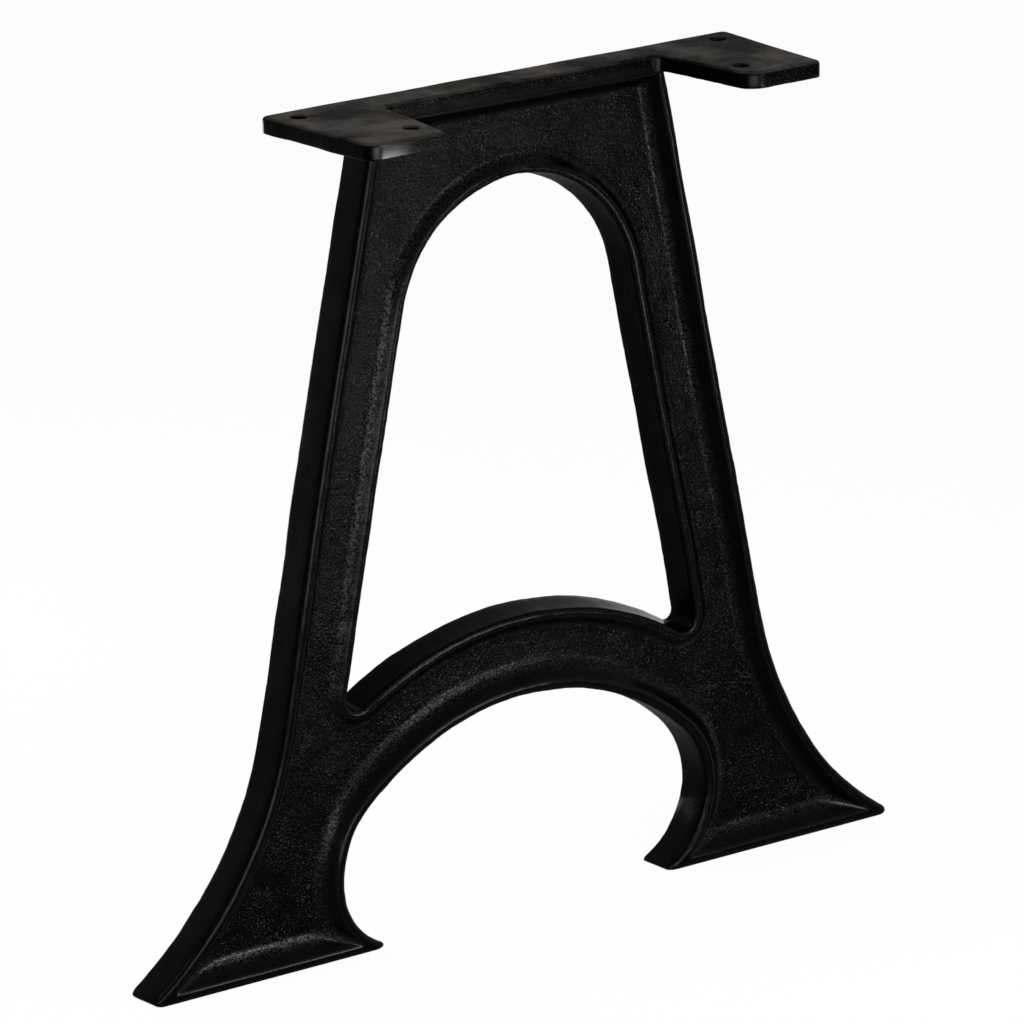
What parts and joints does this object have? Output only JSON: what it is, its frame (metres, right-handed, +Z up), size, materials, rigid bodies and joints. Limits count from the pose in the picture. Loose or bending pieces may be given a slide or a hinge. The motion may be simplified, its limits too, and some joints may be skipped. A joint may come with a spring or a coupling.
{
  "type": "trestle table leg",
  "caption": "One-piece cast A-frame table leg with rimmed panels, an arched window, flared feet and a drilled top plate whose ears carry a tabletop.",
  "frame": {"origin": "middle of the bounding box on the floor, under the centre of the leg", "axes": "+X across the spread of the feet, +Y to the flat back edge of the plate, away from the ears, +Z up to the tabletop"},
  "size_m": [0.7792, 0.138, 0.72],
  "materials": {
    "black_paint": "black gloss paint over sand-cast iron"
  },
  "bodies": {
    "root": {"leg_casting": "black_paint"}
  },
  "joints": []
}
